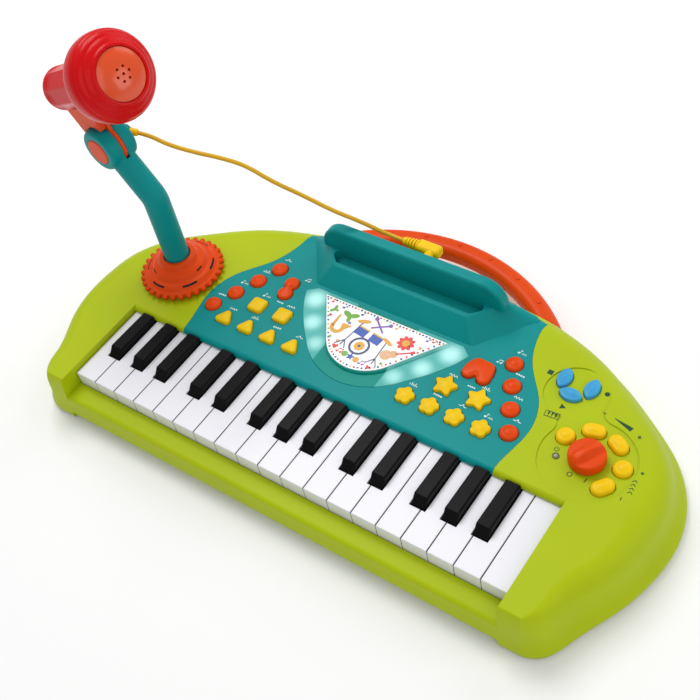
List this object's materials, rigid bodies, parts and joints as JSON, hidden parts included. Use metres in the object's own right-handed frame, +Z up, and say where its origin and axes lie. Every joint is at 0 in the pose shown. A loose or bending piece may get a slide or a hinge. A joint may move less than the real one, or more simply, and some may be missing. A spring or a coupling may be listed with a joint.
{
  "type": "toy electronic keyboard",
  "caption": "Toy piano keyboard in a rounded shell with hinged keys, press buttons, a lit panel, a music rest, a carry handle and a microphone on a swivelling stand.",
  "frame": {"origin": "middle of the centre foot's underside, on the table", "axes": "+X along the keys towards the high notes, +Y to the rear, +Z up"},
  "size_m": [0.4636, 0.2518, 0.2418],
  "materials": {
    "green_shell": "satin moulded",
    "white_floor": "fine matt grain",
    "teal_panel": "satin moulded",
    "mint_lens": "frosted translucent",
    "printed_card": "printed film",
    "red_handle": "satin",
    "yellow_plastic": "satin",
    "orange_plastic": "satin",
    "blue_plastic": "satin",
    "teal_plastic": "satin",
    "mic_red": "satin",
    "white_key": "gloss",
    "black_key": "gloss",
    "steel": "plain",
    "rubber": "matt",
    "silicone": "matt",
    "board": "solder resist",
    "speaker_black": "matt",
    "cord_pvc": "smooth pvc"
  },
  "bodies": {
    "case": {"upper_case": "green_shell", "lower_case": "white_floor", "console_panel": "teal_panel", "light_lens": "mint_lens", "picture_card": "printed_card", "carry_handle": "red_handle", "mic_collar": "orange_plastic", "key_hinge_rod": "steel", "key_contact_strip": "silicone", "circuit_board": "board", "speaker": "speaker_black", "battery_door": "white_floor", "case_screws": "steel", "rubber_feet": "rubber", "mic_cord": "cord_pvc", "cord_plug": "yellow_plastic"},
    "stand": {"stand_arm_front": "teal_plastic", "stand_arm_rear": "teal_plastic", "tilt_pin": "orange_plastic"},
    "microphone": {"mic_shell": "mic_red", "mic_grille": "orange_plastic", "mic_bracket": "orange_plastic", "mic_capsule": "steel"},
    "knob": {"power_knob": "orange_plastic"},
    "orange_set": {"orange_buttons": "orange_plastic"},
    "yellow_set": {"yellow_buttons": "yellow_plastic"},
    "blue_set": {"blue_buttons": "blue_plastic"},
    "level_set": {"level_buttons": "yellow_plastic"},
    "body_white_key_01": {"white_key_01": "white_key"},
    "body_white_key_02": {"white_key_02": "white_key"},
    "body_white_key_03": {"white_key_03": "white_key"},
    "body_white_key_04": {"white_key_04": "white_key"},
    "body_white_key_05": {"white_key_05": "white_key"},
    "body_white_key_06": {"white_key_06": "white_key"},
    "body_white_key_07": {"white_key_07": "white_key"},
    "body_white_key_08": {"white_key_08": "white_key"},
    "body_white_key_09": {"white_key_09": "white_key"},
    "body_white_key_10": {"white_key_10": "white_key"},
    "body_white_key_11": {"white_key_11": "white_key"},
    "body_white_key_12": {"white_key_12": "white_key"},
    "body_white_key_13": {"white_key_13": "white_key"},
    "body_white_key_14": {"white_key_14": "white_key"},
    "body_white_key_15": {"white_key_15": "white_key"},
    "body_white_key_16": {"white_key_16": "white_key"},
    "body_white_key_17": {"white_key_17": "white_key"},
    "body_white_key_18": {"white_key_18": "white_key"},
    "body_white_key_19": {"white_key_19": "white_key"},
    "body_black_key_01": {"black_key_01": "black_key"},
    "body_black_key_02": {"black_key_02": "black_key"},
    "body_black_key_03": {"black_key_03": "black_key"},
    "body_black_key_04": {"black_key_04": "black_key"},
    "body_black_key_05": {"black_key_05": "black_key"},
    "body_black_key_06": {"black_key_06": "black_key"},
    "body_black_key_07": {"black_key_07": "black_key"},
    "body_black_key_08": {"black_key_08": "black_key"},
    "body_black_key_09": {"black_key_09": "black_key"},
    "body_black_key_10": {"black_key_10": "black_key"},
    "body_black_key_11": {"black_key_11": "black_key"},
    "body_black_key_12": {"black_key_12": "black_key"},
    "body_black_key_13": {"black_key_13": "black_key"}
  },
  "joints": [
    {"name": "stand_swivel", "type": "hinge", "parent": "case", "child": "stand", "pos_m": [-0.16, 0.017, 0.04], "axis": [0, 0, 1], "range_deg": [-35, 35], "deforming": ["mic_cord"]},
    {"name": "mic_tilt", "type": "hinge", "parent": "stand", "child": "microphone", "pos_m": [-0.18966, 0.01991, 0.1478], "axis": [0.0976, 0.9952, 0], "range_deg": [-30, 30]},
    {"name": "power_knob_turn", "type": "hinge", "parent": "case", "child": "knob", "pos_m": [0.169, 0.007, 0.04], "axis": [0, 0, 1], "range_deg": [-45, 45]},
    {"name": "orange_press", "type": "slide", "parent": "case", "child": "orange_set", "axis": [0, 0, -1], "range_m": [0, 0.0015], "stiffness_N_per_m": 800, "springref_m": -0.001},
    {"name": "yellow_press", "type": "slide", "parent": "case", "child": "yellow_set", "axis": [0, 0, -1], "range_m": [0, 0.0015], "stiffness_N_per_m": 800, "springref_m": -0.001},
    {"name": "blue_press", "type": "slide", "parent": "case", "child": "blue_set", "axis": [0, 0, -1], "range_m": [0, 0.0015], "stiffness_N_per_m": 800, "springref_m": -0.001},
    {"name": "level_press", "type": "slide", "parent": "case", "child": "level_set", "axis": [0, 0, -1], "range_m": [0, 0.0015], "stiffness_N_per_m": 800, "springref_m": -0.001},
    {"name": "white_key_01_press", "type": "hinge", "parent": "case", "child": "body_white_key_01", "pos_m": [0, 0.006, 0.026], "axis": [1, 0, 0], "range_deg": [0, 2.5], "stiffness_Nm_per_rad": 0.6, "springref_deg": -5.73},
    {"name": "white_key_02_press", "type": "hinge", "parent": "case", "child": "body_white_key_02", "pos_m": [0, 0.006, 0.026], "axis": [1, 0, 0], "range_deg": [0, 2.5], "stiffness_Nm_per_rad": 0.6, "springref_deg": -5.73},
    {"name": "white_key_03_press", "type": "hinge", "parent": "case", "child": "body_white_key_03", "pos_m": [0, 0.006, 0.026], "axis": [1, 0, 0], "range_deg": [0, 2.5], "stiffness_Nm_per_rad": 0.6, "springref_deg": -5.73},
    {"name": "white_key_04_press", "type": "hinge", "parent": "case", "child": "body_white_key_04", "pos_m": [0, 0.006, 0.026], "axis": [1, 0, 0], "range_deg": [0, 2.5], "stiffness_Nm_per_rad": 0.6, "springref_deg": -5.73},
    {"name": "white_key_05_press", "type": "hinge", "parent": "case", "child": "body_white_key_05", "pos_m": [0, 0.006, 0.026], "axis": [1, 0, 0], "range_deg": [0, 2.5], "stiffness_Nm_per_rad": 0.6, "springref_deg": -5.73},
    {"name": "white_key_06_press", "type": "hinge", "parent": "case", "child": "body_white_key_06", "pos_m": [0, 0.006, 0.026], "axis": [1, 0, 0], "range_deg": [0, 2.5], "stiffness_Nm_per_rad": 0.6, "springref_deg": -5.73},
    {"name": "white_key_07_press", "type": "hinge", "parent": "case", "child": "body_white_key_07", "pos_m": [0, 0.006, 0.026], "axis": [1, 0, 0], "range_deg": [0, 2.5], "stiffness_Nm_per_rad": 0.6, "springref_deg": -5.73},
    {"name": "white_key_08_press", "type": "hinge", "parent": "case", "child": "body_white_key_08", "pos_m": [0, 0.006, 0.026], "axis": [1, 0, 0], "range_deg": [0, 2.5], "stiffness_Nm_per_rad": 0.6, "springref_deg": -5.73},
    {"name": "white_key_09_press", "type": "hinge", "parent": "case", "child": "body_white_key_09", "pos_m": [0, 0.006, 0.026], "axis": [1, 0, 0], "range_deg": [0, 2.5], "stiffness_Nm_per_rad": 0.6, "springref_deg": -5.73},
    {"name": "white_key_10_press", "type": "hinge", "parent": "case", "child": "body_white_key_10", "pos_m": [0, 0.006, 0.026], "axis": [1, 0, 0], "range_deg": [0, 2.5], "stiffness_Nm_per_rad": 0.6, "springref_deg": -5.73},
    {"name": "white_key_11_press", "type": "hinge", "parent": "case", "child": "body_white_key_11", "pos_m": [0, 0.006, 0.026], "axis": [1, 0, 0], "range_deg": [0, 2.5], "stiffness_Nm_per_rad": 0.6, "springref_deg": -5.73},
    {"name": "white_key_12_press", "type": "hinge", "parent": "case", "child": "body_white_key_12", "pos_m": [0, 0.006, 0.026], "axis": [1, 0, 0], "range_deg": [0, 2.5], "stiffness_Nm_per_rad": 0.6, "springref_deg": -5.73},
    {"name": "white_key_13_press", "type": "hinge", "parent": "case", "child": "body_white_key_13", "pos_m": [0, 0.006, 0.026], "axis": [1, 0, 0], "range_deg": [0, 2.5], "stiffness_Nm_per_rad": 0.6, "springref_deg": -5.73},
    {"name": "white_key_14_press", "type": "hinge", "parent": "case", "child": "body_white_key_14", "pos_m": [0, 0.006, 0.026], "axis": [1, 0, 0], "range_deg": [0, 2.5], "stiffness_Nm_per_rad": 0.6, "springref_deg": -5.73},
    {"name": "white_key_15_press", "type": "hinge", "parent": "case", "child": "body_white_key_15", "pos_m": [0, 0.006, 0.026], "axis": [1, 0, 0], "range_deg": [0, 2.5], "stiffness_Nm_per_rad": 0.6, "springref_deg": -5.73},
    {"name": "white_key_16_press", "type": "hinge", "parent": "case", "child": "body_white_key_16", "pos_m": [0, 0.006, 0.026], "axis": [1, 0, 0], "range_deg": [0, 2.5], "stiffness_Nm_per_rad": 0.6, "springref_deg": -5.73},
    {"name": "white_key_17_press", "type": "hinge", "parent": "case", "child": "body_white_key_17", "pos_m": [0, 0.006, 0.026], "axis": [1, 0, 0], "range_deg": [0, 2.5], "stiffness_Nm_per_rad": 0.6, "springref_deg": -5.73},
    {"name": "white_key_18_press", "type": "hinge", "parent": "case", "child": "body_white_key_18", "pos_m": [0, 0.006, 0.026], "axis": [1, 0, 0], "range_deg": [0, 2.5], "stiffness_Nm_per_rad": 0.6, "springref_deg": -5.73},
    {"name": "white_key_19_press", "type": "hinge", "parent": "case", "child": "body_white_key_19", "pos_m": [0, 0.006, 0.026], "axis": [1, 0, 0], "range_deg": [0, 2.5], "stiffness_Nm_per_rad": 0.6, "springref_deg": -5.73},
    {"name": "black_key_01_press", "type": "hinge", "parent": "case", "child": "body_black_key_01", "pos_m": [0, 0.006, 0.026], "axis": [1, 0, 0], "range_deg": [0, 2.5], "stiffness_Nm_per_rad": 0.6, "springref_deg": -5.73},
    {"name": "black_key_02_press", "type": "hinge", "parent": "case", "child": "body_black_key_02", "pos_m": [0, 0.006, 0.026], "axis": [1, 0, 0], "range_deg": [0, 2.5], "stiffness_Nm_per_rad": 0.6, "springref_deg": -5.73},
    {"name": "black_key_03_press", "type": "hinge", "parent": "case", "child": "body_black_key_03", "pos_m": [0, 0.006, 0.026], "axis": [1, 0, 0], "range_deg": [0, 2.5], "stiffness_Nm_per_rad": 0.6, "springref_deg": -5.73},
    {"name": "black_key_04_press", "type": "hinge", "parent": "case", "child": "body_black_key_04", "pos_m": [0, 0.006, 0.026], "axis": [1, 0, 0], "range_deg": [0, 2.5], "stiffness_Nm_per_rad": 0.6, "springref_deg": -5.73},
    {"name": "black_key_05_press", "type": "hinge", "parent": "case", "child": "body_black_key_05", "pos_m": [0, 0.006, 0.026], "axis": [1, 0, 0], "range_deg": [0, 2.5], "stiffness_Nm_per_rad": 0.6, "springref_deg": -5.73},
    {"name": "black_key_06_press", "type": "hinge", "parent": "case", "child": "body_black_key_06", "pos_m": [0, 0.006, 0.026], "axis": [1, 0, 0], "range_deg": [0, 2.5], "stiffness_Nm_per_rad": 0.6, "springref_deg": -5.73},
    {"name": "black_key_07_press", "type": "hinge", "parent": "case", "child": "body_black_key_07", "pos_m": [0, 0.006, 0.026], "axis": [1, 0, 0], "range_deg": [0, 2.5], "stiffness_Nm_per_rad": 0.6, "springref_deg": -5.73},
    {"name": "black_key_08_press", "type": "hinge", "parent": "case", "child": "body_black_key_08", "pos_m": [0, 0.006, 0.026], "axis": [1, 0, 0], "range_deg": [0, 2.5], "stiffness_Nm_per_rad": 0.6, "springref_deg": -5.73},
    {"name": "black_key_09_press", "type": "hinge", "parent": "case", "child": "body_black_key_09", "pos_m": [0, 0.006, 0.026], "axis": [1, 0, 0], "range_deg": [0, 2.5], "stiffness_Nm_per_rad": 0.6, "springref_deg": -5.73},
    {"name": "black_key_10_press", "type": "hinge", "parent": "case", "child": "body_black_key_10", "pos_m": [0, 0.006, 0.026], "axis": [1, 0, 0], "range_deg": [0, 2.5], "stiffness_Nm_per_rad": 0.6, "springref_deg": -5.73},
    {"name": "black_key_11_press", "type": "hinge", "parent": "case", "child": "body_black_key_11", "pos_m": [0, 0.006, 0.026], "axis": [1, 0, 0], "range_deg": [0, 2.5], "stiffness_Nm_per_rad": 0.6, "springref_deg": -5.73},
    {"name": "black_key_12_press", "type": "hinge", "parent": "case", "child": "body_black_key_12", "pos_m": [0, 0.006, 0.026], "axis": [1, 0, 0], "range_deg": [0, 2.5], "stiffness_Nm_per_rad": 0.6, "springref_deg": -5.73},
    {"name": "black_key_13_press", "type": "hinge", "parent": "case", "child": "body_black_key_13", "pos_m": [0, 0.006, 0.026], "axis": [1, 0, 0], "range_deg": [0, 2.5], "stiffness_Nm_per_rad": 0.6, "springref_deg": -5.73}
  ]
}
